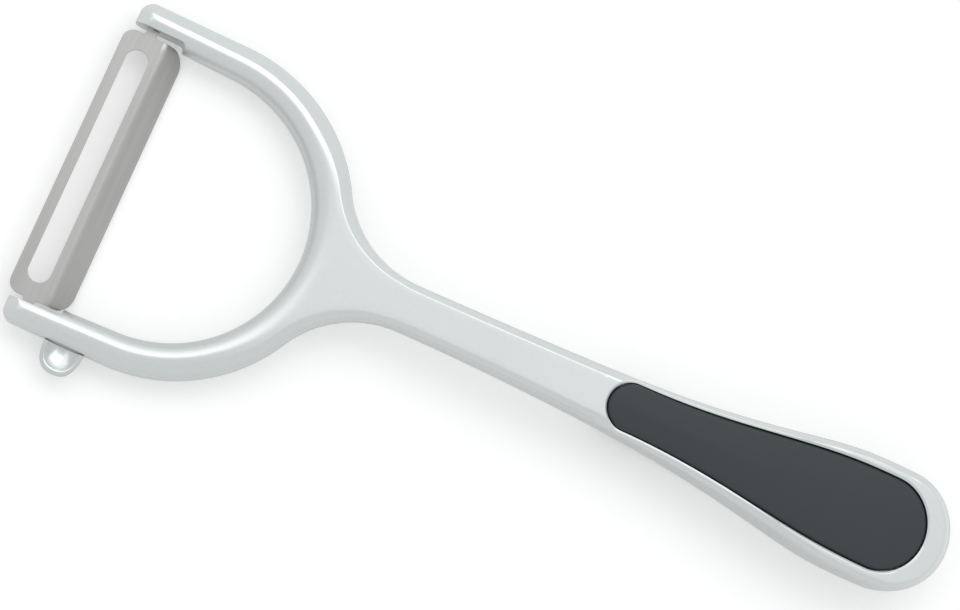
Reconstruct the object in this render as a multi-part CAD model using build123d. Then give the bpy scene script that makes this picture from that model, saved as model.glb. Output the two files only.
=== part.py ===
from build123d import *
import os
from math import atan, cos, hypot, radians, sin, sqrt, tan

# Millimetres. +X runs from the head to the handle's end, +Y across the head, +Z up.
# The origin is the middle of the flat on the handle's back, where the handle rests.

# Lengths along the handle
bow_reach = 140.0          # handle rest to the centre of the bow
pivot_reach = 16.5         # centre of the bow to the blade's pivot axis
tip_reach = 3.7            # pivot axis to the ends of the arms
end_reach = 22.8           # handle rest to the end of the handle

# Bow and arms
bow_radius = 26.4          # inside of the bow
arm_width = 6.7
arm_opening = 1.7          # degrees that the inside of each arm turns outwards
bow_back_shift = 1.1       # the outside circle sits this far back, so that the bow thickens
arm_thickness = 7.2
tip_corner = 2.6
recess_depth = 2.0         # the arm tips are thinner on the inside, to clear the blade
recess_reach = 6.6         # pivot axis to the step at the end of the recess
recess_corner = 1.0

# Neck and handle
neck_width = 9.6
neck_fillet = 21.0
neck_thickness = 7.4
neck_lift = 4.2            # the neck arches this far off the table
neck_back = 75.0           # handle rest to the top of the arch
handle_width = 23.9
handle_thickness = 13.0
rest_sink = 0.15           # the back is cut flat this deep where it rests
flank_shares = ((0.30, 0.07), (0.56, 0.275), (0.755, 0.66), (0.89, 0.96))

# Heights of the side view
tip_lift = 1.2
head_rest = 3.0            # centre of the bow to the places where the arms rest
end_bottom_share = 0.22
end_top_share = 0.80
shoulder_top_share = 0.36
grip_top_share = 0.47
edge_round = 2.6
back_round = 2.2

# Grip pockets, front and back
grip_nose_reach = 50.3     # handle rest to the narrow end of the pocket
grip_end_reach = 17.3
grip_nose_radius = 4.8
grip_end_radius = 9.3
grip_flank_shares = ((0.34, 0.24), (0.60, 0.65), (0.80, 0.92))
web_thickness = 3.0
web_height = 7.6
carrier_thickness = 1.6
groove = 0.2               # hairline between a pad and the pocket's wall
pad_proud = 0.35
pad_round = 1.3

# Pegs that hold the two carriers together through the web
peg_radius = 1.5
peg_play = 0.1
peg_depth = 1.1
peg_fit = 0.03
peg_shares = (0.14, 0.48, 0.82)

# Blade
blade_sheet = 0.9
blade_end_gap = 1.2        # each end of the blade to the recess beside it
blade_drop = 0.2           # the blade lies this far towards the lower arm
front_rail = 4.85          # pivot axis to the blade's front edge
crease_reach = 3.3         # pivot axis to the crease
tail_reach = 7.3           # pivot axis to the blade's rear edge
bend_degrees = 40.0
slot_front = 2.65
slot_width = 4.4
slot_end_rail = 3.2
front_corner = 2.3
rear_corner = 3.8
bevel_width = 0.9
bevel_depth = 0.55

# Pivots: flat tabs on the blade's ends turn in bow-tie sockets in the arm tips
tab_width = 2.3
tab_depth = 2.3            # into the socket
tab_root = 0.4
tab_play = 0.05
socket_end_play = 0.9
swivel_degrees = 50.0

# Eye remover
scoop_place = 6.9          # centre of the bow to the scoop, towards the tips
scoop_radius = 4.0
scoop_stand = 1.6          # scoop's centre outside the arm
scoop_depth = 2.6
scoop_sheet = 0.7
scoop_rim_height = 4.6
tang_width = 5.0
tang_depth = 2.6
tang_play = 0.05

overrun = 5.0

# Worked out from the sizes above
bow_x = -bow_reach
back_x = bow_x + bow_back_shift
pivot_x = bow_x - pivot_reach
tip_x = pivot_x - tip_reach
step_x = pivot_x + recess_reach
outer_radius = bow_radius + arm_width
recess_y = bow_radius + recess_depth
blade_length = 2 * (recess_y - blade_end_gap)
neck_half = neck_width / 2
handle_half = handle_width / 2
end_x = end_reach - handle_half
pivot_z = (tip_lift + arm_thickness) / 2
head_top = arm_thickness
front_floor = web_height + web_thickness / 2
back_floor = web_height - web_thickness / 2


def mirrored_face(half):
    """Face between the X axis and a half outline, and its mirror image."""
    return make_face(half + [mirror(edge, Plane.XZ) for edge in half]).face()


def flank_points(start, finish, shares):
    """Points between two ends of a flank, given as shares of its run and its growth."""
    run = finish[0] - start[0]
    growth = finish[1] - start[1]
    return [(start[0] + run * along, start[1] + growth * out) for along, out in shares]


def across(section, half_length):
    """A section drawn in X and Z, extruded both ways from the middle plane."""
    placed = Plane.XZ.offset(-half_length) * section
    return extrude(placed, amount=2 * half_length, dir=(0, -1, 0))


def casting_plan():
    """Outline of the casting from above."""
    reach = outer_radius + neck_fillet
    rise = neck_half + neck_fillet
    fillet_x = back_x + sqrt(reach**2 - rise**2)
    touch_x = back_x + (fillet_x - back_x) * outer_radius / reach
    touch_y = rise * outer_radius / reach
    middle = hypot((touch_x + fillet_x) / 2 - fillet_x, (touch_y + neck_half) / 2 - rise)
    dip_x = fillet_x + ((touch_x + fillet_x) / 2 - fillet_x) * neck_fillet / middle
    dip_y = rise + ((touch_y + neck_half) / 2 - rise) * neck_fillet / middle
    bow_mid = bow_radius / sqrt(2)
    opening = radians(arm_opening)
    root_x = bow_x + bow_radius * sin(opening)
    root_y = bow_radius * cos(opening)
    inner_tip = root_y + (root_x - tip_x) * tan(opening)
    turn = hypot(touch_x - back_x, touch_y + outer_radius)
    crown_x = back_x + (touch_x - back_x) * outer_radius / turn
    crown_y = (touch_y + outer_radius) * outer_radius / turn
    corner_mid = tip_corner * (1 - 1 / sqrt(2))
    flank = flank_points((fillet_x, neck_half), (end_x, handle_half), flank_shares)
    end_mid = handle_half / sqrt(2)
    half = [
        ThreePointArc((bow_x + bow_radius, 0), (bow_x + bow_mid, bow_mid), (root_x, root_y)),
        Line((root_x, root_y), (tip_x, inner_tip)),
        Line((tip_x, inner_tip), (tip_x, outer_radius - tip_corner)),
        ThreePointArc(
            (tip_x, outer_radius - tip_corner),
            (tip_x + corner_mid, outer_radius - corner_mid),
            (tip_x + tip_corner, outer_radius),
        ),
        Line((tip_x + tip_corner, outer_radius), (back_x, outer_radius)),
        ThreePointArc((back_x, outer_radius), (crown_x, crown_y), (touch_x, touch_y)),
        ThreePointArc((touch_x, touch_y), (dip_x, dip_y), (fillet_x, neck_half)),
        Spline(
            (fillet_x, neck_half), *flank, (end_x, handle_half), tangents=((1, 0), (1, 0))
        ),
        ThreePointArc(
            (end_x, handle_half), (end_x + end_mid, end_mid), (end_x + handle_half, 0)
        ),
    ]
    return mirrored_face(half)


def side_view(raised=0.0):
    """Side view of the casting, extruded across it. Pads stand raised above it."""
    neck_top = neck_lift + neck_thickness
    start = tip_x - overrun
    finish = end_reach + overrun
    shoulder = (bow_x + outer_radius, head_top + (neck_top - head_top) * shoulder_top_share)
    grip = (-neck_back * grip_top_share, (neck_top + handle_thickness) / 2)
    top = Spline(
        (start, head_top + raised),
        (bow_x, head_top + raised),
        (shoulder[0], shoulder[1] + raised),
        (-neck_back, neck_top + raised),
        (grip[0], grip[1] + raised),
        (0, handle_thickness + raised),
        (finish, handle_thickness * end_top_share + raised),
    )
    bottom = Spline(
        (finish, handle_thickness * end_bottom_share),
        (0, -rest_sink),
        (-neck_back, neck_lift),
        (bow_x + head_rest, -rest_sink),
        (start, tip_lift),
    )
    edges = [top, Line(top @ 1, bottom @ 0), bottom, Line(bottom @ 1, top @ 0)]
    return across(make_face(edges).face(), outer_radius + overrun)


def grip_plan(inset=0.0):
    """Teardrop outline of a grip pocket, drawn in by an inset."""
    nose_radius = grip_nose_radius - inset
    end_radius = grip_end_radius - inset
    nose_x = grip_nose_radius - grip_nose_reach
    round_x = grip_end_reach - grip_end_radius
    flank = flank_points((nose_x, nose_radius), (round_x, end_radius), grip_flank_shares)
    nose_mid = nose_radius / sqrt(2)
    end_mid = end_radius / sqrt(2)
    half = [
        ThreePointArc(
            (nose_x - nose_radius, 0), (nose_x - nose_mid, nose_mid), (nose_x, nose_radius)
        ),
        Spline(
            (nose_x, nose_radius), *flank, (round_x, end_radius), tangents=((1, 0), (1, 0))
        ),
        ThreePointArc(
            (round_x, end_radius), (round_x + end_mid, end_mid), (round_x + end_radius, 0)
        ),
    ]
    return mirrored_face(half)


def slab(face, low, high):
    """A plan outline extruded between two heights."""
    return extrude(Pos(0, 0, low) * face, amount=high - low, dir=(0, 0, 1))


def skins(body):
    """The underside and the top of a body, which are its two largest faces."""
    return body.faces().sort_by(SortBy.AREA)[-2:].sort_by(Axis.Z)


def table():
    """What lies below the rest plane, cut off the casting and the back pad."""
    length = 2 * (bow_reach + outer_radius)
    return Pos(0, 0, -overrun / 2) * Box(length, length, overrun)


def peg_places():
    run = grip_nose_reach + grip_end_reach
    return [run * share - grip_nose_reach for share in peg_shares]


def peg_row(radius, low, high):
    """The three pegs, or the holes for them."""
    pegs = [Pos(x, 0, (low + high) / 2) * Cylinder(radius, high - low) for x in peg_places()]
    return pegs[0] + pegs[1:]


def tab_socket():
    """Bow-tie section that lets a flat tab turn through the swivel range, extruded along Y."""
    width = tab_width + 2 * tab_play
    height = blade_sheet + 2 * tab_play
    corner = hypot(width, height) / 2
    lean = atan(height / width)
    turn = radians(swivel_degrees)
    tip = corner / cos(turn / 2 + lean)
    tab = Rectangle(width, height)
    low = (tip * cos(lean), -tip * sin(lean))
    high = (tip * cos(turn + lean), tip * sin(turn + lean))
    wedge = Polygon((0, 0), low, high, align=None)
    bow_tie = tab + Rot(0, 0, swivel_degrees) * tab + wedge + Rot(0, 0, 180) * wedge
    section = bow_tie & Circle(corner)
    depth = tab_depth + socket_end_play
    return Pos(pivot_x, 0, pivot_z) * across(section, recess_y + depth)


def scoop_tang(play=0.0):
    """The scoop's flat tang, or the slot for it in the arm."""
    length = scoop_stand + tang_depth + play
    middle = -outer_radius - scoop_stand + length / 2
    bottom = scoop_rim_height - scoop_depth
    plate = Box(tang_width + 2 * play, length, scoop_sheet + 2 * play)
    return Pos(bow_x - scoop_place, middle, bottom + scoop_sheet / 2) * plate


def frame_casting():
    body = slab(casting_plan(), -overrun, handle_thickness + overrun) & side_view()
    body = body.solid()
    body = fillet(skins(body)[-1].edges(), edge_round)
    body = fillet(skins(body)[0].edges(), back_round)
    body -= table()

    recess_length = step_x - tip_x + overrun
    recess = Box(recess_length, 2 * recess_y, arm_thickness + 2 * overrun)
    recess = fillet(recess.edges().filter_by(Axis.Z).group_by(Axis.X)[-1], recess_corner)
    body -= Pos(step_x - recess_length / 2, 0, arm_thickness / 2) * recess
    body -= tab_socket()
    body -= slab(grip_plan(), front_floor, handle_thickness + overrun)
    body -= slab(grip_plan(), -overrun, back_floor)
    body -= peg_row(peg_radius + peg_play, back_floor - overrun, front_floor + overrun)
    body -= scoop_tang(tang_play)
    return body


def grip_carrier_front():
    plate = slab(grip_plan(groove), front_floor, front_floor + carrier_thickness)
    return plate + peg_row(peg_radius, back_floor - peg_depth, front_floor + carrier_thickness / 2)


def grip_carrier_back():
    plate = slab(grip_plan(groove), back_floor - carrier_thickness, back_floor)
    return plate - peg_row(peg_radius + peg_fit, back_floor - peg_depth - peg_play, back_floor)


def grip_pad_front():
    low = front_floor + carrier_thickness
    pad = slab(grip_plan(groove), low, handle_thickness + overrun) & side_view(pad_proud)
    pad = pad.solid()
    return fillet(skins(pad)[-1].edges(), pad_round)


def grip_pad_back():
    high = back_floor - carrier_thickness
    pad = slab(grip_plan(groove), -overrun, high) & side_view()
    pad = pad.solid()
    return fillet(skins(pad)[0].edges(), pad_round) - table()


def swivel_blade():
    bend = radians(bend_degrees)
    half_sheet = blade_sheet / 2
    half_length = blade_length / 2
    slant =(tail_reach - crease_reach) / cos(bend)
    tail_z = half_sheet - slant * sin(bend)
    section = make_face(
        Polyline(
            (-front_rail, half_sheet),
            (crease_reach, half_sheet),
            (tail_reach, tail_z),
            (tail_reach - blade_sheet * sin(bend), tail_z - blade_sheet * cos(bend)),
            (crease_reach - blade_sheet * tan(bend / 2), -half_sheet),
            (-front_rail, -half_sheet),
            close=True,
        )
    ).face()
    strip = across(section, blade_length)
    creases = strip.edges().filter_by(Axis.Y)
    outer_crease = creases.sort_by_distance((crease_reach, 0, half_sheet))[0]
    strip = fillet(outer_crease, blade_sheet + half_sheet)

    blank_width = front_rail + tail_reach
    blank = Pos((tail_reach - front_rail) / 2, 0) * Rectangle(blank_width, blade_length)
    blank = fillet(blank.vertices().group_by(Axis.X)[0], front_corner)
    blank = fillet(blank.vertices().group_by(Axis.X)[-1], rear_corner)
    tab_tip = recess_y + tab_depth + blade_drop
    blank += Rectangle(tab_width, 2 * tab_tip)
    corners = [(x, y, 0) for x in (-tab_width / 2, tab_width / 2) for y in (-half_length, half_length)]
    roots = [blank.vertices().sort_by_distance(corner)[0] for corner in corners]
    blank = fillet(roots, tab_root)
    slot_x = slot_width / 2 - slot_front
    slot_length = blade_length - 2 * slot_end_rail
    blank -= Pos(slot_x, 0) * SlotOverall(slot_length, slot_width, rotation=90)
    blade = strip & slab(blank.face(), -overrun, overrun)

    edge_x = slot_x + slot_width / 2
    bevel = make_face(
        Polyline(
            (edge_x - bevel_width, half_sheet + bevel_depth),
            (edge_x + bevel_width, half_sheet),
            (edge_x - bevel_width, half_sheet - 2 * bevel_depth),
            close=True,
        )
    ).face()
    straight = (slot_length - slot_width) / 2
    blade -= across(bevel, straight)
    return Pos(pivot_x, -blade_drop, pivot_z) * blade


def eye_remover():
    """A stamped dish with a sharp rim, open upwards, and the tang that holds it in the arm."""
    ball = (scoop_radius**2 + scoop_depth**2) / (2 * scoop_depth)
    place = Pos(bow_x - scoop_place, -outer_radius - scoop_stand, scoop_rim_height)
    shell = Pos(0, 0, ball - scoop_depth) * (Sphere(ball) - Sphere(ball - scoop_sheet))
    keep = Box(2 * ball, 2 * ball, 2 * ball)
    shell &= Pos(0, scoop_stand - tang_play - ball, -ball) * keep
    return place * shell + scoop_tang()


parts = {
    "frame_casting": frame_casting,
    "front_grip_carrier": grip_carrier_front,
    "front_grip_pad": grip_pad_front,
    "back_grip_carrier": grip_carrier_back,
    "back_grip_pad": grip_pad_back,
    "swivel_blade": swivel_blade,
    "eye_remover": eye_remover,
}

os.makedirs("parts", exist_ok=True)
for name, make in parts.items():
    export_step(make().solid(), f"parts/{name}.step")
    print("wrote", name)
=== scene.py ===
import math
import bmesh
import bpy
import numpy as np
from mathutils import Matrix, Vector


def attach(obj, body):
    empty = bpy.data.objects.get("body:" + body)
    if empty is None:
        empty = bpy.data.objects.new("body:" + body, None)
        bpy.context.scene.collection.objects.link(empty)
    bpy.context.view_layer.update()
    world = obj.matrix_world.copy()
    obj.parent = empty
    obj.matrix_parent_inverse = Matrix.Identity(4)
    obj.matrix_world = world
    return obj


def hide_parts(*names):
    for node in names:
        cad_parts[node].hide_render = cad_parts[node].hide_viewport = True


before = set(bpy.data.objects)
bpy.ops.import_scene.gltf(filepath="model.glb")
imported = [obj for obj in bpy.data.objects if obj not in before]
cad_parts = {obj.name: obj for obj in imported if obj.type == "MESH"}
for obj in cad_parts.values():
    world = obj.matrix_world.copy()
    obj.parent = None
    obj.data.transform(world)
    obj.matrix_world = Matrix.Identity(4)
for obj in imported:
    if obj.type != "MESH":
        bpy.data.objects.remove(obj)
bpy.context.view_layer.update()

# +X runs from the blade to the handle's end, +Y across the head, +Z up. Sizes are in mm.
mm = 0.001
weldDistance, leastEdge = 0.002, 0.0005


# curves

def throughPoints(xs, ys, slopes=None):
    # smooth curve through points: natural ends, or the two given end slopes
    xs, ys = np.asarray(xs, float), np.asarray(ys, float)
    order = np.argsort(xs)
    xs, ys = xs[order], ys[order]
    n, h = len(xs), np.diff(xs)
    rows, right = np.zeros((n, n)), np.zeros(n)
    for i in range(1, n - 1):
        rows[i, i - 1:i + 2] = h[i - 1], 2 * (h[i - 1] + h[i]), h[i]
        right[i] = 6 * ((ys[i + 1] - ys[i]) / h[i] - (ys[i] - ys[i - 1]) / h[i - 1])
    rows[0, 0] = rows[-1, -1] = 1
    if slopes:
        rows[0, :2] = 2 * h[0], h[0]
        right[0] = 6 * ((ys[1] - ys[0]) / h[0] - slopes[0])
        rows[-1, -2:] = h[-1], 2 * h[-1]
        right[-1] = 6 * (slopes[1] - (ys[-1] - ys[-2]) / h[-1])
    bend = np.linalg.solve(rows, right)

    def height(x):
        x = np.asarray(x, float)
        k = np.clip(np.searchsorted(xs, x) - 1, 0, n - 2)
        a, b = xs[k + 1] - x, x - xs[k]
        cubic = (bend[k] * a**3 + bend[k + 1] * b**3) / (6 * h[k])
        return (cubic + (ys[k] / h[k] - bend[k] * h[k] / 6) * a
                + (ys[k + 1] / h[k] - bend[k + 1] * h[k] / 6) * b)
    return height


def arcPoints(centre, radius, startDeg, endDeg, count):
    turn = np.radians(np.linspace(startDeg, endDeg, count))
    return np.c_[centre[0] + radius * np.cos(turn), centre[1] + radius * np.sin(turn)]


def lengthsAlong(line):
    return np.r_[0, np.cumsum(np.hypot(*np.diff(line, axis=0).T))]


def pointsAt(line, along, lengths):
    # the line's points at the given lengths
    return np.c_[np.interp(lengths, along, line[:, 0]), np.interp(lengths, along, line[:, 1])]


def spaced(line, count, ease=0.0):
    # the same line with evenly spaced points, or drawn towards its ends
    along = lengthsAlong(line)
    t = np.linspace(0, 1, count)
    t = t * (1 - ease) + ease * (1 - np.cos(np.pi * t)) / 2
    return pointsAt(line, along, t * along[-1])


def distanceTo(line, x, y):
    # shortest distance from every point to a line of short runs
    start, run = line[:-1], np.diff(line, axis=0)
    length = np.maximum((run**2).sum(1), 1e-12)
    best = np.full(x.shape, 1e9)
    for (sx, sy), (rx, ry), size in zip(start, run, length):
        t = np.clip(((x - sx) * rx + (y - sy) * ry) / size, 0, 1)
        best = np.minimum(best, np.hypot(x - sx - t * rx, y - sy - t * ry))
    return best


def unit(v):
    return v / np.maximum(np.hypot(v[..., :1], v[..., 1:]), 1e-9)


def smoothLeast(a, b, blend):
    # the lesser of two, rounded where they cross; the greater where the blend is negative
    step = np.clip(0.5 + 0.5 * (b - a) / blend, 0, 1)
    return b * (1 - step) + a * step - blend * step * (1 - step)


# meshes

def tidyMesh(piece, sharp):
    shell = bmesh.new()
    shell.from_mesh(piece.data)
    bmesh.ops.remove_doubles(shell, verts=shell.verts, dist=weldDistance * mm)
    bmesh.ops.dissolve_degenerate(shell, edges=shell.edges, dist=leastEdge * mm)
    bmesh.ops.recalc_face_normals(shell, faces=shell.faces)
    shell.to_mesh(piece.data)
    shell.free()
    piece.data.shade_smooth()
    piece.data.set_sharp_from_angle(angle=math.radians(sharp))


def linked(name, data):
    piece = bpy.data.objects.new(name, data)
    bpy.context.scene.collection.objects.link(piece)
    return piece


def meshPiece(name, points, faces, sharp):
    mesh = bpy.data.meshes.new(name)
    mesh.from_pydata((np.asarray(points) * mm).tolist(), [], faces)
    piece = linked(name, mesh)
    tidyMesh(piece, sharp)
    return piece


def evaluatedMesh(piece):
    # the mesh that a piece's modifiers make
    shape = bpy.context.evaluated_depsgraph_get()
    return bpy.data.meshes.new_from_object(piece.evaluated_get(shape))


def addGrid(points, faces, block, flip=False):
    first = len(points)
    down, over = block.shape[:2]
    for i in range(down - 1):
        for j in range(over - 1):
            a = first + i * over + j
            quad = (a, a + 1, a + over + 1, a + over)
            faces.append(quad[::-1] if flip else quad)
    points += block.reshape(-1, 3).tolist()


def addPrism(points, faces, ring, low, high, upright=False):
    # a closed prism along Y from a ring in X and Z, or upright from a ring in X and Y
    first, n = len(points), len(ring)
    for level in (low, high):
        points += [(a, b, level) if upright else (a, level, b) for a, b in ring]
    faces.append(tuple(range(first, first + n)))
    faces.append(tuple(range(first + 2 * n - 1, first + n - 1, -1)))
    for k in range(n):
        m = (k + 1) % n
        faces.append((first + m, first + k, first + n + k, first + n + m))


def wallGrid(x, y, high, low, rows):
    # a wall that goes down from an edge
    down = np.linspace(0, 1, rows)
    z = high * (1 - down) + low * down
    return np.dstack([x + 0 * z, y + 0 * z, z])


def addMirrorImage(points, faces):
    # what is built so far lies at +Y, and its mirror image at -Y
    count = len(points)
    points += [(x, -y, z) for x, y, z in points]
    faces += [tuple(count + i for i in face[::-1]) for face in faces]


# soft pads and their pockets in the handle

grip = {
    "nose": -50.3, "end": 17.3, "noseRadius": 4.8, "endRadius": 9.3,
    "flank": [(0.34, 0.24), (0.60, 0.65), (0.80, 0.92)],
    "flankPoints": 200, "cornerPoints": 60, "endEase": 0.35,
    "frontFloor": 9.1, "backFloor": 6.1, "plate": 1.6,
    "groove": 0.2, "proud": 0.27, "edge": 0.75, "crown": 0.45, "crownReach": 0.8, "backCrown": 0.3,
    "rows": 190, "acrossRows": 22, "acrossEase": 1.6, "wallRows": 5, "sharp": 38,
    "pegs": [0.14, 0.48, 0.82], "pegHole": 1.6, "pegPoints": 48, "pegOver": 0.5,
}


def gripOutline(inset, count):
    # half of the pocket's outline at +Y, from its nose to its end
    g = grip
    noseRadius, endRadius = g["noseRadius"] - inset, g["endRadius"] - inset
    noseX, endX = g["nose"] + g["noseRadius"], g["end"] - g["endRadius"]
    run = [(0, 0)] + g["flank"] + [(1, 1)]
    side = throughPoints([noseX + (endX - noseX) * a for a, b in run],
                         [noseRadius + (endRadius - noseRadius) * b for a, b in run], (0, 0))
    x = np.linspace(noseX, endX, g["flankPoints"])
    line = np.r_[arcPoints((noseX, 0), noseRadius, 180, 90, g["cornerPoints"]), np.c_[x, side(x)][1:],
                 arcPoints((endX, 0), endRadius, 90, 0, g["cornerPoints"])[1:]]
    line = spaced(line, count, g["endEase"])
    line[0, 1] = line[-1, 1] = 0
    return line


def makePad(name, front):
    # a soft pad from its plate to its crowned face
    g = grip
    line = gripOutline(g["groove"], g["rows"])
    t = np.linspace(0, 1, g["acrossRows"]) ** g["acrossEase"]
    x = line[:, None, 0] + 0 * t
    y = line[:, None, 1] * (1 - t)
    depth = distanceTo(line, x, y)
    sink = np.clip(1 - depth / g["edge"], 0, 1)
    rounded = g["edge"] * (1 - np.sqrt(1 - sink**2))
    crown = g["crown"] * (1 - np.clip(depth / (g["crownReach"] * g["endRadius"]), 0, 1)) ** 2
    if front:
        face = topOf(x) + g["proud"] - rounded - crown
        seat = g["frontFloor"] + g["plate"]
    else:
        face = np.maximum(backOf(x) + rounded + crown * g["backCrown"], 0)
        seat = g["backFloor"] - g["plate"]
    points, faces = [], []
    addGrid(points, faces, np.dstack([x, y, face]), not front)
    addGrid(points, faces, wallGrid(x[:, :1], y[:, :1], face[:, :1], seat, g["wallRows"]), front)
    addGrid(points, faces, np.dstack([x, y, seat + 0 * x]), front)
    addMirrorImage(points, faces)
    return meshPiece(name, points, faces, g["sharp"])


# casting: bow, neck and handle

casting = {
    # outline
    "bowX": -140.0, "bowRadius": 26.4, "armWidth": 6.7, "armOpening": 1.7, "backShift": 1.1,
    "tipX": -160.2, "tipCorner": 2.6, "recessX": -149.9, "recessDepth": 2.0, "recessCorner": 1.0,
    "neckHalf": 4.8, "neckFillet": 21.0, "handleHalf": 11.95, "handleEnd": 22.79,
    "flank": [(0.30, 0.07), (0.56, 0.275), (0.755, 0.66), (0.89, 0.96)],
    # heights along X
    "topHeights": [(-164.7, 7.2), (-140.0, 7.2), (-106.9, 8.784), (-75.0, 11.6), (-35.25, 12.3),
                   (0.0, 13.0), (27.8, 10.4)],
    "backHeights": [(-164.7, 1.2), (-137.0, -0.15), (-75.0, 4.2), (0.0, -0.15), (27.8, 2.86)],
    # section: a sloping band along the outer edge, a low crown and a round towards the inner edge
    "bandPlaces": [-160, -140, -118, -106, -95, -50, 0, 23],
    "bandWidths": [2.1, 2.5, 3.0, 2.5, 1.6, 1.9, 1.5, 1.7], "bandSlope": 0.66,
    "crownPlaces": [-160, -120, -108, 23], "crownDrops": [0.46, 0.46, 0.03, 0.0],
    "crownWidth": 3.3, "crownRise": 0.04,
    "crestPlaces": [-160, -118, -106, 23], "crestRounds": [0.05, 0.05, 0.006, 0.006],
    "sideRound": 0.4, "innerRound": 4.6, "innerPower": 2.2, "innerEnd": 30, "noInner": 50,
    "backRound": 2.3, "backLip": 0.35, "rimChamfer": 0.4, "rimDrop": 0.3,
    # points on the outline
    "tipRows": 36, "tipEase": 0.8, "cornerRows": 9, "recessLip": 0.02,
    "bowPoints": 160, "filletPoints": 120, "flankPoints": 260, "endPoints": 90, "innerPoints": 200,
    "searchPoints": 6000, "nearSmooth": 2, "noseFan": 4.0, "neckStart": 7.0, "wallReach": 9.0,
    # rows along the casting and steps across it
    "bowRows": 130, "neckRows": 110, "gripRows": 190, "wallRows": 6,
    "armBlend": 14, "bowBlend": 40, "gripBlend": 22,
    "innerSteps": [0, 0.04, 0.1, 0.2, 0.3, 0.4, 0.5, 0.6, 0.7, 0.8, 0.95, 1.1], "innerShare": 0.38,
    "outerSteps": [0, 0.04, 0.1, 0.18, 0.28, 0.4], "leastStep": 0.02,
    "bandSteps": [0.5, 0.8, 0.94, 1.0, 1.06, 1.25], "bandShare": 0.58,
    "middleRows": 12, "middleEase": 1.5,
    # shading, and the painted shade on the steep sides
    "sharp": 38, "steepFrom": 0.80, "steepOver": 0.25, "paintedShadeTint": 0.72,
}
topOf = throughPoints(*zip(*casting["topHeights"]))
backOf = throughPoints(*zip(*casting["backHeights"]))


def bowShape():
    # measures of the bow that follow from its settings
    c = casting
    outer = c["bowRadius"] + c["armWidth"]
    backX = c["bowX"] + c["backShift"]
    reach, rise = outer + c["neckFillet"], c["neckHalf"] + c["neckFillet"]
    opening = math.radians(c["armOpening"])
    return {
        "outer": outer, "backX": backX, "rise": rise, "filletX": backX + math.sqrt(reach**2 - rise**2),
        "touch": math.degrees(math.asin(rise / reach)), "slope": math.tan(opening),
        "rootX": c["bowX"] + c["bowRadius"] * math.sin(opening), "rootY": c["bowRadius"] * math.cos(opening),
    }


def armOutlines(shape):
    # inner and outer edge of the straight arm, with the rounded tip and the recess beside the blade
    c = casting
    ease = (1 - np.cos(np.linspace(0, math.pi / 2, c["tipRows"]))) ** c["tipEase"]
    x = c["tipX"] + (shape["rootX"] - c["tipX"]) * ease
    edge = np.linspace(0, 1, c["cornerRows"])
    x = np.r_[x, c["tipX"] + c["tipCorner"] * (1 - np.cos(edge * math.pi / 2))]
    x = np.r_[x, c["recessX"] - c["recessCorner"] * (1 - edge), c["recessX"] + c["recessLip"]]
    x = np.unique(np.round(x, 4))
    corner = np.clip(c["tipX"] + c["tipCorner"] - x, 0, c["tipCorner"])
    outerY = shape["outer"] - c["tipCorner"] + np.sqrt(c["tipCorner"] ** 2 - corner**2)
    recessY = c["bowRadius"] + c["recessDepth"]
    turn = np.clip(x - c["recessX"] + c["recessCorner"], 0, c["recessCorner"])
    recess = recessY - c["recessCorner"] + np.sqrt(c["recessCorner"] ** 2 - turn**2)
    straight = shape["rootY"] + (shape["rootX"] - x) * shape["slope"]
    innerY = np.where(x <= c["recessX"], recess, straight)
    return np.c_[x, innerY], np.c_[x, outerY]


def outerEdge(shape):
    # from the arm round the bow, the neck's fillet and the flank to the handle's end
    c = casting
    endX = c["handleEnd"] - c["handleHalf"]
    run = [(0, 0)] + c["flank"] + [(1, 1)]
    grow = c["handleHalf"] - c["neckHalf"]
    side = throughPoints([shape["filletX"] + (endX - shape["filletX"]) * a for a, b in run],
                         [c["neckHalf"] + grow * b for a, b in run], (0, 0))
    flankX = np.linspace(shape["filletX"], endX, c["flankPoints"])
    touch, fillet = shape["touch"], (shape["filletX"], shape["rise"])
    return np.r_[[[shape["rootX"], shape["outer"]]],
                 arcPoints((shape["backX"], 0), shape["outer"], 90, touch, c["bowPoints"]),
                 arcPoints(fillet, c["neckFillet"], 180 + touch, 270, c["filletPoints"])[1:],
                 np.c_[flankX, side(flankX)][1:],
                 arcPoints((endX, 0), c["handleHalf"], 90, 0, c["endPoints"])[1:]]


def nearestLengths(pocket, edge, along):
    # how far along the outer edge the nearest point to each of the pocket's points lies
    c = casting
    fine, run = spaced(edge, c["searchPoints"]), np.linspace(0, along[-1], c["searchPoints"])
    near = np.array([run[np.argmin(np.hypot(*(fine - place).T))] for place in pocket])
    k = c["nearSmooth"]
    evened = np.convolve(near, np.ones(2 * k + 1) / (2 * k + 1), "valid")
    near = np.r_[near[:k], evened, near[-k:]]
    # fanned out round the pocket's nose, and in order, so that no rows cross
    pastNose = lengthsAlong(pocket) / (math.pi / 2 * grip["noseRadius"])
    near = np.maximum.accumulate(near - c["noseFan"] * np.clip(1 - pastNose, 0, 1) ** 2)
    near[-1] = along[-1]
    return near


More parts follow.
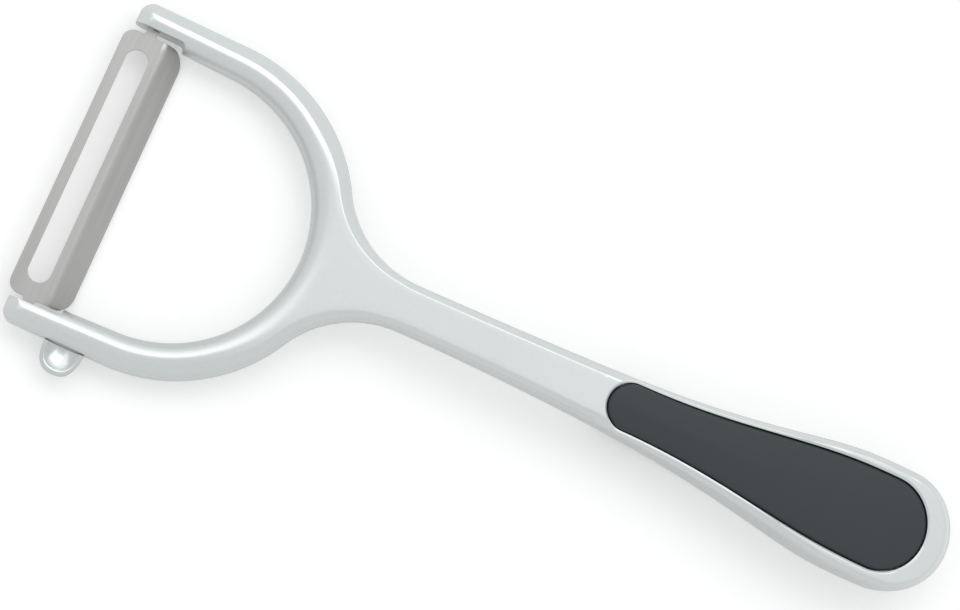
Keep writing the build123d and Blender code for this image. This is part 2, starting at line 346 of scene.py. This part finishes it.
def castingOutlines():
    # matching points on the inner and outer outline of the casting's +Y half
    c, shape = casting, bowShape()
    armInner, armOuter = armOutlines(shape)
    edge, pocket = outerEdge(shape), gripOutline(0, c["gripRows"])
    along = lengthsAlong(edge)
    near = nearestLengths(pocket, edge, along)
    pastBow = edge[:, 0] >= c["bowX"] + shape["outer"] + c["neckStart"]
    bowEnd = along[np.argmax(pastBow & (edge[:, 1] < shape["outer"] / 2))]
    outers = [armOuter]
    for start, stop, count in ((0, bowEnd, c["bowRows"]), (bowEnd, near[0], c["neckRows"])):
        inside = edge[(along > start) & (along < stop)]
        ends = pointsAt(edge, along, [start, stop])
        outers.append(spaced(np.r_[ends[:1], inside, ends[1:]], count)[1:])
    outers.append(pointsAt(edge, along, near)[1:])

    bow = arcPoints((c["bowX"], 0), c["bowRadius"], 90 - c["armOpening"], 0, c["innerPoints"])
    bow = spaced(bow, c["bowRows"])[1:]
    apex = c["bowX"] + c["bowRadius"]
    t = np.linspace(0, 1, c["neckRows"])
    centreline = np.c_[apex + (grip["nose"] - apex) * t**2 * (3 - 2 * t), 0 * t][1:]
    # the bow's inner edge as it runs without the recesses
    wallX = c["tipX"] - c["wallReach"]
    wallStart = [[wallX, shape["rootY"] + (shape["rootX"] - wallX) * shape["slope"]]]
    wall = np.r_[wallStart, armInner[armInner[:, 0] > c["recessX"]], bow]
    gripStart = len(armInner) + len(bow) + len(centreline) - 1
    inner = np.concatenate([armInner, bow, centreline, pocket[1:]])
    return inner, np.concatenate(outers), wall, gripStart, len(armInner)


def castingProfile(distance, inward, height, place):
    # share of the half thickness: outer band, crown, and the round towards the inner edge
    c = casting
    width = np.interp(place, c["bandPlaces"], c["bandWidths"])[:, None]
    t = np.clip(distance / width, 0, 1)
    side = np.clip(distance / c["sideRound"], 0, 1)
    crown = np.clip((distance - width) / c["crownWidth"], 0, 1)
    rise = np.interp(place, c["crownPlaces"], c["crownDrops"])[:, None]
    drop = c["bandSlope"] * width * (1 - t) + rise * (1 - crown) ** 2
    band = np.sqrt(1 - (1 - side) ** 2) * (1 - drop / height) + c["crownRise"] * crown
    u = np.clip(inward / c["innerRound"], 0, 1)
    inside = (1 - (1 - u) ** c["innerPower"]) ** (1 / c["innerPower"])
    blend = np.interp(place, c["crestPlaces"], c["crestRounds"])[:, None]
    return np.minimum(smoothLeast(band, inside, blend), 1)


def castingGrid(inner, outer, armCount, gripStart):
    # rows across the casting that keep an even distance from both edges near them
    c = casting
    rows = len(inner)
    tangentIn, tangentOut = unit(np.gradient(inner, axis=0)), unit(np.gradient(outer, axis=0))
    intoBody = np.c_[-tangentIn[:, 1], tangentIn[:, 0]]
    backInto = np.c_[tangentOut[:, 1], -tangentOut[:, 0]]
    width = np.minimum(np.hypot(*(outer - inner).T), distanceTo(outer, *inner.T))[:, None]
    # straight across at the arm, the bow's apex and the pocket's nose, square to the edges elsewhere
    straight = unit(outer - inner)
    k = np.arange(rows)
    armEnd, bowEnd = armCount + c["armBlend"], armCount + c["bowRows"] - 1
    stops = [0, armCount, armEnd, bowEnd - c["bowBlend"], bowEnd, gripStart, gripStart + c["gripBlend"], rows]
    plainIn = np.interp(k, stops, [1, 1, 0, 0, 1, 1, 0, 0])[:, None]
    plainOut = np.interp(k, [0, armCount, armEnd, rows], [1, 1, 0, 0])[:, None]
    inWay = unit(intoBody * (1 - plainIn) + straight * plainIn)
    outWay = unit(backInto * (1 - plainOut) - straight * plainOut)
    inStep = np.array(c["innerSteps"])[None, :]
    inStep = inStep * np.minimum(1, c["innerShare"] * width / inStep.max())
    band = np.interp(outer[:, 0], c["bandPlaces"], c["bandWidths"])[:, None]
    bandStep = band * np.array(c["bandSteps"])[None, :]
    bandStep = bandStep * np.minimum(1, c["bandShare"] * width / bandStep.max(1, keepdims=True))
    least = c["outerSteps"][-1] + c["leastStep"] * np.arange(1, len(c["bandSteps"]) + 1)
    outStep = np.c_[np.repeat([c["outerSteps"]], rows, 0), np.maximum(bandStep, least)]
    first = inner[:, None] + inWay[:, None] * inStep[..., None]
    last = (outer[:, None] + outWay[:, None] * outStep[..., None])[:, ::-1]
    t = np.linspace(0, 1, c["middleRows"] + 2)[None, 1:-1, None] ** c["middleEase"]
    middle = first[:, -1:] * (1 - t) + last[:, :1] * t
    grid = np.concatenate([first, middle, last], axis=1)
    grid[-1, :, 1] = 0
    return grid


def makeCasting():
    c = casting
    inner, outer, wall, gripStart, armCount = castingOutlines()
    grid = castingGrid(inner, outer, armCount, gripStart)
    x, y = grid[..., 0], grid[..., 1]
    tipLine = np.array([[c["tipX"], 0.0], outer[0]])
    distance = distanceTo(np.r_[tipLine, outer[1:]], x, y)
    inward = distanceTo(wall, x, y)
    inward = np.where(x > grip["nose"] - c["innerEnd"], c["noInner"], inward)
    top, back = topOf(x), np.maximum(backOf(x), 0)
    middle, half = (top + back) / 2, (top - back) / 2
    share = castingProfile(distance, inward, half, outer[:, 0])
    rim = distanceTo(inner[gripStart:], x, y)
    chamfer = c["rimDrop"] * (1 - np.clip(rim / c["rimChamfer"], 0, 1))
    upper = middle + half * share - chamfer
    edge = np.minimum(distance, inward)
    sink = np.clip(1 - edge / c["backRound"], 0, 1)
    rounded = c["backRound"] * (1 - np.sqrt(1 - sink**2))
    quick = np.sqrt(1 - (1 - np.clip(edge / c["backLip"], 0, 1)) ** 2)
    lower = middle - quick * (half - rounded) + chamfer
    points, faces = [], []
    addGrid(points, faces, np.dstack([x, y, upper]))
    addGrid(points, faces, np.dstack([x, y, lower]), True)
    arm = slice(0, armCount + 1)
    addGrid(points, faces, wallGrid(x[arm, :1], y[arm, :1], upper[arm, :1], lower[arm, :1], c["wallRows"]))
    # pocket walls and floors, front and back
    px, py = x[gripStart:, :1], y[gripStart:, :1]
    for rimZ, floorZ, turn in ((upper, grip["frontFloor"], False), (lower, grip["backFloor"], True)):
        addGrid(points, faces, wallGrid(px, py, rimZ[gripStart:, :1], floorZ, c["wallRows"]), turn)
        inY = py * (1 - np.linspace(0, 1, c["wallRows"]))
        addGrid(points, faces, np.dstack([px + 0 * inY, inY, floorZ + 0 * inY]), turn)
    addMirrorImage(points, faces)
    body = meshPiece("castBody", points, faces, c["sharp"])
    cutAway(body)
    # mask for the painted shade: 1 where the casting's sides are steep, 0 on its face
    paintedSteepShade = body.data.attributes.new("paintedSteepShade", "FLOAT", "POINT")
    lean = np.array([abs(vertex.normal.z) for vertex in body.data.vertices])
    paintedSteepShade.data.foreach_set("value", np.clip((c["steepFrom"] - lean) / c["steepOver"], 0, 1))
    return body


# sockets for the blade's tabs

pivot = {
    "x": -156.5, "z": 4.2, "tabWidth": 2.3, "sheet": 0.9, "turn": 50.0, "clearance": 0.05,
    "mouth": 28.4, "depth": 31.6, "mouthOver": 1.0, "points": 96,
}


def bowTie():
    # section that lets a flat tab turn, as points round the pivot in X and Z
    p = pivot
    width, height = p["tabWidth"] + 2 * p["clearance"], p["sheet"] + 2 * p["clearance"]
    corner, lean = math.hypot(width, height) / 2, math.atan(height / width)
    turn = math.radians(p["turn"])
    points = []
    for k in range(p["points"]):
        a = 2 * math.pi * k / p["points"]
        b = a % math.pi
        swept = b <= turn + lean or b >= math.pi - lean
        flat = max(height / 2 / max(abs(math.sin(q)), 1e-6) for q in (a, a - turn))
        r = corner if swept else min(corner, flat)
        points.append((p["x"] + r * math.cos(a), p["z"] + r * math.sin(a)))
    return points


def cutAway(body):
    # sockets for the blade's tabs, the slot for the scoop's tang and the holes for the pegs
    points, faces = [], []
    p, s, g = pivot, scoop, grip
    outline, mouth = bowTie(), p["mouth"] - p["mouthOver"]
    for low, high in ((mouth, p["depth"]), (-p["depth"], -mouth)):
        addPrism(points, faces, outline, low, high)
    gap = s["clearance"]
    half, floor = s["tangWidth"] / 2 + gap, s["rim"] - s["depth"]
    ring = [(s["x"] - half, floor - gap), (s["x"] + half, floor - gap),
            (s["x"] + half, floor + s["sheet"] + gap), (s["x"] - half, floor + s["sheet"] + gap)]
    armSide = -casting["bowRadius"] - casting["armWidth"]
    addPrism(points, faces, ring, s["y"], armSide + s["tangDepth"] + gap)
    for share in g["pegs"]:
        x = g["nose"] + (g["end"] - g["nose"]) * share
        ring = arcPoints((x, 0), g["pegHole"], 0, 360, g["pegPoints"] + 1)[:-1]
        addPrism(points, faces, ring, g["backFloor"] - g["pegOver"], g["frontFloor"] + g["pegOver"], True)
    cutter = meshPiece("cutter", points, faces, casting["sharp"])
    tool = body.modifiers.new("cut", "BOOLEAN")
    tool.operation, tool.solver, tool.object = "DIFFERENCE", "EXACT", cutter
    cut = evaluatedMesh(body)
    body.modifiers.clear()
    body.data = cut
    bpy.data.objects.remove(cutter)
    tidyMesh(body, casting["sharp"])


# blade

blade = {
    "front": -4.85, "crease": 3.3, "tail": 7.3, "bend": 40.0, "bendRadius": 1.5, "half": 27.2, "drop": 0.2,
    "frontCorner": 2.3, "rearCorner": 3.8, "tabEnd": 30.7, "tabRoot": 0.55,
    "slotFront": -2.65, "slotWidth": 4.4, "slotHalf": 24.0,
    "frontPoints": 17, "rootPoints": 8, "rearPoints": 25, "slotPoints": 33,
    "bendStrips": 11, "plateCuts": [1.5, 3.0], "crossCuts": 17, "cutDistance": 1e-5,
    "edgeRound": 0.1, "edgeSegments": 2, "edgeAngle": 50, "sharp": 30, "flatness": 0.9995,
}


def bladeOutline():
    # half of the blank at +Y from the front edge round to the rear one
    b = blade
    bend = math.radians(b["bend"])
    tail = b["crease"] + (b["tail"] - b["crease"]) / math.cos(bend)
    half, front, rear = b["half"], b["frontCorner"], b["rearCorner"]
    tab = pivot["tabWidth"] / 2
    root = b["tabRoot"]
    line = [(b["front"], 0)]
    line += arcPoints((b["front"] + front, half - front), front, 180, 90, b["frontPoints"]).tolist()
    line += arcPoints((-tab - root, half + root), root, 270, 360, b["rootPoints"]).tolist()
    line += [(-tab, b["tabEnd"]), (tab, b["tabEnd"])]
    line += arcPoints((tab + root, half + root), root, 180, 270, b["rootPoints"]).tolist()
    line += arcPoints((tail - rear, half - rear), rear, 90, 0, b["rearPoints"]).tolist()
    line += [(tail, 0)]
    return line


def cutBlank(shell, place, facing):
    everything = shell.verts[:] + shell.edges[:] + shell.faces[:]
    bmesh.ops.bisect_plane(shell, geom=everything, plane_co=place, plane_no=facing, dist=blade["cutDistance"])


def makeBlade():
    # the flat blank with its slot, cut into strips where it bends, thickened, rounded, then bent
    b = blade
    line = bladeOutline()
    ring = line + [(x, -y) for x, y in line[-2:0:-1]]
    radius = b["slotWidth"] / 2
    slotX, straight = b["slotFront"] + radius, b["slotHalf"] - radius
    hole = arcPoints((slotX, straight), radius, 0, 180, b["slotPoints"]).tolist()
    hole += arcPoints((slotX, -straight), radius, 180, 360, b["slotPoints"]).tolist()
    shell = bmesh.new()
    edges = []
    for loop in (ring, hole):
        verts = [shell.verts.new((x, y, 0)) for x, y in loop]
        edges += [shell.edges.new((verts[i], verts[(i + 1) % len(verts)])) for i in range(len(verts))]
    bmesh.ops.triangle_fill(shell, edges=edges, use_beauty=True)
    bend = math.radians(b["bend"])
    start = b["crease"] - b["bendRadius"] * math.tan(bend / 2)
    stop = start + b["bendRadius"] * bend
    for x in [*np.linspace(start, stop, b["bendStrips"]), slotX, *(stop + past for past in b["plateCuts"])]:
        cutBlank(shell, (x, 0, 0), (1, 0, 0))
    for y in np.linspace(-b["slotHalf"], b["slotHalf"], b["crossCuts"]):
        cutBlank(shell, (0, y, 0), (0, 1, 0))
    bmesh.ops.recalc_face_normals(shell, faces=shell.faces)
    mesh = bpy.data.meshes.new("bladeBlank")
    shell.to_mesh(mesh)
    shell.free()
    piece = linked("bladeBlank", mesh)
    thick = piece.modifiers.new("thick", "SOLIDIFY")
    thick.thickness, thick.offset = pivot["sheet"], 0
    soft = piece.modifiers.new("soft", "BEVEL")
    soft.width, soft.segments, soft.limit_method = b["edgeRound"], b["edgeSegments"], "ANGLE"
    soft.angle_limit = math.radians(b["edgeAngle"])
    mesh = evaluatedMesh(piece)
    piece.modifiers.clear()
    piece.data = mesh
    for vertex in mesh.vertices:
        x, y, z = vertex.co
        if x > start:
            turn = min((x - start) / b["bendRadius"], bend)
            past = max(x - stop, 0)
            depth = b["bendRadius"] + z
            x, z = (start + depth * math.sin(turn) + past * math.cos(turn),
                    depth * math.cos(turn) - b["bendRadius"] - past * math.sin(turn))
        vertex.co = Vector((pivot["x"] + x, y - b["drop"], pivot["z"] + z)) * mm
    tidyMesh(piece, b["sharp"])
    # the two plates stay flat right up to their rounded edges
    plates = (Vector((0, 0, 1)), Vector((math.sin(bend), 0, math.cos(bend))))
    for face in piece.data.polygons:
        if max(abs(face.normal.dot(plate)) for plate in plates) > b["flatness"]:
            face.use_smooth = False
    return piece


# scoop on the side of one arm

scoop = {
    "x": -146.9, "y": -34.7, "rim": 4.6, "depth": 2.6, "sheet": 0.7, "rimThick": 0.45, "underReach": 3.2,
    "band": 0.7, "bowl": 1.35, "bowlBlend": 0.08, "lip": 0.22,
    "half": 4.0, "rootY": 1.55, "fanX": -0.2,
    "outline": [(-4.0, 1.55), (-3.98, 0.0), (-3.6, -1.75), (-2.6, -3.2), (-1.2, -3.9), (0.3, -3.98),
                (1.7, -3.65), (2.8, -2.75), (3.55, -1.2), (3.9, 0.3), (4.0, 1.55)],
    "edgePoints": 121, "bowlRows": 30, "rimRows": 12, "rimFrom": 0.85, "wallRows": 5, "sharp": 35,
    "tangWidth": 5.0, "tangDepth": 2.6, "tangOver": 0.2, "clearance": 0.05,
}


def addTang(piece):
    # the tab that sits in the arm's slot
    s = scoop
    inner = -casting["bowRadius"] - casting["armWidth"] + s["tangDepth"]
    root = s["y"] + s["rootY"] - s["tangOver"]
    start = Vector((s["x"] - s["tangWidth"] / 2, root, s["rim"] - s["depth"]))
    wide, long, thick = s["tangWidth"], inner - root, s["sheet"]
    shell = bmesh.new()
    shell.from_mesh(piece.data)
    corners = [shell.verts.new((start + Vector((a * wide, b * long, c * thick))) * mm)
               for c in (0, 1) for b in (0, 1) for a in (0, 1)]
    for face in ((0, 2, 3, 1), (4, 5, 7, 6), (0, 1, 5, 4), (2, 6, 7, 3), (0, 4, 6, 2), (1, 3, 7, 5)):
        shell.faces.new([corners[i] for i in face])
    bmesh.ops.recalc_face_normals(shell, faces=shell.faces)
    shell.to_mesh(piece.data)
    shell.free()
    piece.data.set_sharp_from_angle(angle=math.radians(s["sharp"]))


def makeScoop():
    # a dish whose rows fan out from the middle of its root
    s = scoop
    turns, fine = np.linspace(0, 1, len(s["outline"])), np.linspace(0, 1, s["edgePoints"])
    xs, ys = np.array(s["outline"]).T
    edge = np.c_[np.clip(throughPoints(turns, xs)(fine), -s["half"], s["half"]),
                 np.clip(throughPoints(turns, ys)(fine), -s["half"], s["rootY"])]
    rimSteps = np.sin(np.linspace(0, math.pi / 2, s["rimRows"]))
    t = np.r_[np.linspace(0, s["rimFrom"], s["bowlRows"])[:-1], s["rimFrom"] + (1 - s["rimFrom"]) * rimSteps]
    x = s["fanX"] * (1 - t) + edge[:, :1] * t
    y = s["rootY"] * (1 - t) + edge[:, 1:] * t
    depth = distanceTo(edge, x, y)
    lip = np.clip(depth / s["lip"], 0, 1)
    rounded = s["lip"] * (1 - np.sqrt(1 - (1 - lip) ** 2))
    u = t[None, :] / (1 - s["band"] / s["half"]) + 0 * x
    top = s["rim"] - rounded - smoothLeast(s["bowl"] * (1 - u**2), 0 * u, -s["bowlBlend"])
    v = np.clip(depth / s["underReach"], 0, 1)
    under = s["rim"] - s["rimThick"] - (s["depth"] - s["rimThick"]) * (1 - (1 - v) ** 2) + rounded
    points, faces = [], []
    place = np.array([s["x"], s["y"], 0])
    topGrid, underGrid = np.dstack([x, y, top]) + place, np.dstack([x, y, under]) + place
    addGrid(points, faces, topGrid)
    addGrid(points, faces, underGrid, True)
    k = np.linspace(0, 1, s["wallRows"])[:, None, None]
    addGrid(points, faces, topGrid[:, -1] * (1 - k) + underGrid[:, -1] * k)
    rootTop = np.r_[topGrid[0][::-1], topGrid[-1][1:]]
    rootUnder = np.r_[underGrid[0][::-1], underGrid[-1][1:]]
    addGrid(points, faces, rootTop * (1 - k) + rootUnder * k, True)
    piece = meshPiece("scoopShell", points, faces, s["sharp"])
    addTang(piece)
    return piece


# materials

finishes = {
    "satinPlate": {
        "dark": (0.745, 0.772, 0.772), "light": (0.795, 0.822, 0.822), "metallic": 1.0,
        "mottle": {"Cloud scale": 90, "Grain scale": 1500, "Roughness": 0.37, "Spread": 0.06},
        "bump": 0.001, "stretch": (1, 1, 1),
    },
    "bladeSteel": {
        "dark": (0.48, 0.473, 0.46), "light": (0.61, 0.602, 0.588), "metallic": 1.0,
        "mottle": {"Cloud scale": 160, "Grain scale": 900, "Roughness": 0.36, "Spread": 0.12},
        "bump": 0.004, "stretch": (1, 0.03, 1),
    },
    "brightSteel": {
        "dark": (0.64, 0.67, 0.67), "light": (0.70, 0.73, 0.73), "metallic": 1.0,
        "mottle": {"Cloud scale": 200, "Grain scale": 1500, "Roughness": 0.24, "Spread": 0.05},
        "bump": 0.0008, "stretch": (1, 1, 1),
    },
    "softGrip": {
        "dark": (0.022, 0.031, 0.036), "light": (0.036, 0.048, 0.054), "metallic": 0.0,
        "mottle": {"Cloud scale": 120, "Grain scale": 5200, "Roughness": 0.50, "Spread": 0.10},
        "bump": 0.012, "stretch": (1, 1, 1),
    },
    "darkPlastic": {
        "dark": (0.025, 0.026, 0.028), "light": (0.035, 0.036, 0.04), "metallic": 0.0,
        "mottle": {"Cloud scale": 120, "Grain scale": 2500, "Roughness": 0.5, "Spread": 0.08},
        "bump": 0.006, "stretch": (1, 1, 1),
    },
}
noiseDetail = {"cloud": 3.0, "grain": 4.0}


def mathNode(tree, operation, *given):
    # a math node with a link or a number at each input
    node = tree.nodes.new("ShaderNodeMath")
    node.operation = operation
    for entry, value in zip(node.inputs, given):
        if isinstance(value, float):
            entry.default_value = value
        else:
            tree.links.new(value, entry)
    return node.outputs[0]


def mottleGroup():
    # slow clouds that vary a roughness, and a fine grain for colour and bump
    group = bpy.data.node_groups.new("surfaceMottle", "ShaderNodeTree")
    group.interface.new_socket("Vector", in_out="INPUT", socket_type="NodeSocketVector")
    for name in ("Cloud scale", "Grain scale", "Roughness", "Spread"):
        group.interface.new_socket(name, in_out="INPUT", socket_type="NodeSocketFloat")
    for name in ("Value", "Grain"):
        group.interface.new_socket(name, in_out="OUTPUT", socket_type="NodeSocketFloat")
    nodes, links = group.nodes, group.links
    given, result = nodes.new("NodeGroupInput"), nodes.new("NodeGroupOutput")
    cloud, grain = nodes.new("ShaderNodeTexNoise"), nodes.new("ShaderNodeTexNoise")
    cloud.inputs["Detail"].default_value = noiseDetail["cloud"]
    grain.inputs["Detail"].default_value = noiseDetail["grain"]
    links.new(given.outputs["Vector"], cloud.inputs["Vector"])
    links.new(given.outputs["Vector"], grain.inputs["Vector"])
    links.new(given.outputs["Cloud scale"], cloud.inputs["Scale"])
    links.new(given.outputs["Grain scale"], grain.inputs["Scale"])
    centred = mathNode(group, "SUBTRACT", cloud.outputs["Fac"], 0.5)
    varied = mathNode(group, "MULTIPLY_ADD", centred, given.outputs["Spread"], given.outputs["Roughness"])
    links.new(varied, result.inputs["Value"])
    links.new(grain.outputs["Fac"], result.inputs["Grain"])
    return group


surfaceMottle = mottleGroup()


def makeFinish(name, f):
    # a Principled material whose colour, roughness and bump vary over the surface
    material = bpy.data.materials.new(name)
    material.use_nodes = True
    nodes, links = material.node_tree.nodes, material.node_tree.links
    shader = nodes["Principled BSDF"]
    shader.inputs["Metallic"].default_value = f["metallic"]
    place, mapping = nodes.new("ShaderNodeTexCoord"), nodes.new("ShaderNodeMapping")
    mapping.inputs["Scale"].default_value = f["stretch"]
    links.new(place.outputs["Object"], mapping.inputs["Vector"])
    mottle = nodes.new("ShaderNodeGroup")
    mottle.node_tree = surfaceMottle
    links.new(mapping.outputs["Vector"], mottle.inputs["Vector"])
    for entry, value in f["mottle"].items():
        mottle.inputs[entry].default_value = value
    links.new(mottle.outputs["Value"], shader.inputs["Roughness"])
    colour = nodes.new("ShaderNodeMix")
    colour.data_type = "RGBA"
    links.new(mottle.outputs["Grain"], colour.inputs[0])
    colour.inputs[6].default_value = (*f["dark"], 1)
    colour.inputs[7].default_value = (*f["light"], 1)
    links.new(colour.outputs[2], shader.inputs["Base Color"])
    raised = nodes.new("ShaderNodeBump")
    raised.inputs["Distance"].default_value = f["bump"] * mm
    raised.inputs["Strength"].default_value = 1.0
    links.new(mottle.outputs["Grain"], raised.inputs["Height"])
    links.new(raised.outputs["Normal"], shader.inputs["Normal"])
    return material


def paintSteepShade(material, tint):
    # painted shade: the casting's steep sides are coloured darker, standing in for the dark surroundings that
    # the plating mirrors there
    nodes, links = material.node_tree.nodes, material.node_tree.links
    shader = nodes["Principled BSDF"]
    colour = shader.inputs["Base Color"].links[0].from_socket
    sides = nodes.new("ShaderNodeAttribute")
    sides.attribute_name = "paintedSteepShade"
    mix = nodes.new("ShaderNodeMix")
    mix.data_type, mix.blend_type = "RGBA", "MULTIPLY"
    links.new(sides.outputs["Fac"], mix.inputs[0])
    links.new(colour, mix.inputs[6])
    mix.inputs[7].default_value = (tint, tint, tint, 1)
    links.new(mix.outputs[2], shader.inputs["Base Color"])


def dress(piece, name):
    piece.data.materials.clear()
    piece.data.materials.append(looks[name])


looks = {name: makeFinish(name, settings) for name, settings in finishes.items()}
# painted shade, darker colour on the casting's steep sides
paintSteepShade(looks["satinPlate"], casting["paintedShadeTint"])
print("materials made")

# the pieces

body = makeCasting()
dress(body, "satinPlate")
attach(body, "handle")
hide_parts("frame_casting")
print("casting made", len(body.data.polygons))

for name, front, node in (("frontGrip", True, "front_grip_pad"), ("backGrip", False, "back_grip_pad")):
    pad = makePad(name, front)
    dress(pad, "softGrip")
    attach(pad, "handle")
    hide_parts(node)
print("grips made")

steel = makeBlade()
dress(steel, "bladeSteel")
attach(steel, "blade")
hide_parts("swivel_blade")
dish = makeScoop()
dress(dish, "brightSteel")
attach(dish, "handle")
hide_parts("eye_remover")
print("blade and scoop made")

for node in ("front_grip_carrier", "back_grip_carrier"):
    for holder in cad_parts[node].material_slots:
        holder.material = looks["darkPlastic"]

# camera, at the photograph's angle

view = {
    "tiltX": -10.0, "tiltY": 5.0, "roll": 0.25, "distance": 600.0, "frameWidth": 185.0, "scale": 0.987,
    "axisTurn": -23.5157, "axisOffset": -6.8493, "axisShift": 78.9, "planeZ": 5.0,
    "sensor": 36.0, "clipStart": 0.01, "clipEnd": 10,
}


def objectAxes():
    # the object's X and Y, as directions in the photograph
    turn = math.radians(view["axisTurn"])
    along = Vector((math.cos(turn), math.sin(turn), 0))
    return along, Vector((-along.y, along.x, 0))


def turned(d):
    # a direction in the photograph, told in the object's axes
    along, across = objectAxes()
    return Vector((d.dot(along), d.dot(across), d.z))


def makeCamera():
    v = view
    back = Vector((math.sin(math.radians(v["tiltX"])), -math.sin(math.radians(v["tiltY"])), 0))
    back.z = math.sqrt(1 - back.x**2 - back.y**2)
    place = turned(back * v["distance"] - objectAxes()[1] * v["axisOffset"]) * v["scale"]
    place = Vector((place.x - v["axisShift"], place.y, place.z + v["planeZ"])) * mm
    right = (-back).cross(Vector((0, 1, 0))).normalized()
    upward = right.cross(-back)
    roll = math.radians(v["roll"])
    right, upward = (right * math.cos(roll) + upward * math.sin(roll),
                     upward * math.cos(roll) - right * math.sin(roll))
    axes = Matrix((turned(right), turned(upward), turned(back))).transposed()
    data = bpy.data.cameras.new("photoCamera")
    data.lens = v["sensor"] * v["distance"] / v["frameWidth"]
    data.sensor_width = v["sensor"]
    data.clip_start, data.clip_end = v["clipStart"], v["clipEnd"]
    camera = linked("photoCamera", data)
    camera.matrix_world = Matrix.Translation(place) @ axes.to_4x4()
    bpy.context.scene.camera = camera


# floor, lamps and the room's light

room = {
    "floorHalf": 2.5, "floorColour": 0.86, "floorRough": 0.9, "floorGlow": 0.28,
    "worldColour": (0.985, 1.0, 1.0), "worldHigh": 0.78, "worldLow": 0.73, "worldFrom": -0.5,
    "worldToward": (0.10, 0.80, 0.60), "lampTarget": (-0.07, 0, 0),
    "lamps": [
        {"name": "key", "from": (-0.12, 0.64, 0.76), "distance": 0.9,
         "wide": 0.76, "deep": 0.52, "power": 0.78},
        {"name": "side", "from": (0.41, 0.42, 0.81), "distance": 0.9,
         "wide": 0.68, "deep": 0.50, "power": 0.92},
    ],
}


def makeFloor():
    r, size = room, room["floorHalf"]
    corners = [(-size, -size, 0), (size, -size, 0), (size, size, 0), (-size, size, 0)]
    mesh = bpy.data.meshes.new("tableTop")
    mesh.from_pydata(corners, [], [(0, 1, 2, 3)])
    floor = linked("tableTop", mesh)
    material = bpy.data.materials.new("paleTable")
    material.use_nodes = True
    tree = material.node_tree
    shader = tree.nodes["Principled BSDF"]
    shader.inputs["Base Color"].default_value = (r["floorColour"],) * 3 + (1,)
    shader.inputs["Roughness"].default_value = r["floorRough"]
    shader.inputs["Specular IOR Level"].default_value = 0.0
    shader.inputs["Emission Color"].default_value = (1, 1, 1, 1)
    # the glow is seen by camera, glossy and transmission rays, and lights nothing
    path = tree.nodes.new("ShaderNodeLightPath")
    seen = mathNode(tree, "MAXIMUM", path.outputs["Is Camera Ray"], path.outputs["Is Glossy Ray"])
    seen = mathNode(tree, "MAXIMUM", seen, path.outputs["Is Transmission Ray"])
    tree.links.new(mathNode(tree, "MULTIPLY", seen, r["floorGlow"]), shader.inputs["Emission Strength"])
    mesh.materials.append(material)


def makeWorld():
    # an even light, a little stronger from one side
    r = room
    world = bpy.data.worlds.new("studio")
    world.use_nodes = True
    nodes, links = world.node_tree.nodes, world.node_tree.links
    background = nodes["Background"]
    background.inputs["Color"].default_value = (*r["worldColour"], 1)
    place, side = nodes.new("ShaderNodeTexCoord"), nodes.new("ShaderNodeVectorMath")
    side.operation = "DOT_PRODUCT"
    side.inputs[1].default_value = turned(Vector(r["worldToward"]).normalized())
    links.new(place.outputs["Generated"], side.inputs[0])
    level = nodes.new("ShaderNodeMapRange")
    level.inputs["From Min"].default_value = r["worldFrom"]
    level.inputs["To Min"].default_value = r["worldLow"]
    level.inputs["To Max"].default_value = r["worldHigh"]
    links.new(side.outputs["Value"], level.inputs["Value"])
    links.new(level.outputs["Result"], background.inputs["Strength"])
    bpy.context.scene.world = world


def makeLamp(given):
    lamp = bpy.data.lights.new(given["name"], "AREA")
    lamp.shape = "RECTANGLE"
    lamp.size, lamp.size_y, lamp.energy = given["wide"], given["deep"], given["power"]
    source = linked(given["name"], lamp)
    toward = turned(Vector(given["from"])).normalized()
    wide = Vector((0, 0, 1)).cross(toward).normalized()
    axes = Matrix((wide, toward.cross(wide), toward)).transposed()
    spot = Vector(room["lampTarget"]) + toward * given["distance"]
    source.matrix_world = Matrix.Translation(spot) @ axes.to_4x4()


makeCamera()
makeFloor()
makeWorld()
for given in room["lamps"]:
    makeLamp(given)
bpy.context.scene.view_settings.view_transform = "Standard"
print("camera and room made")
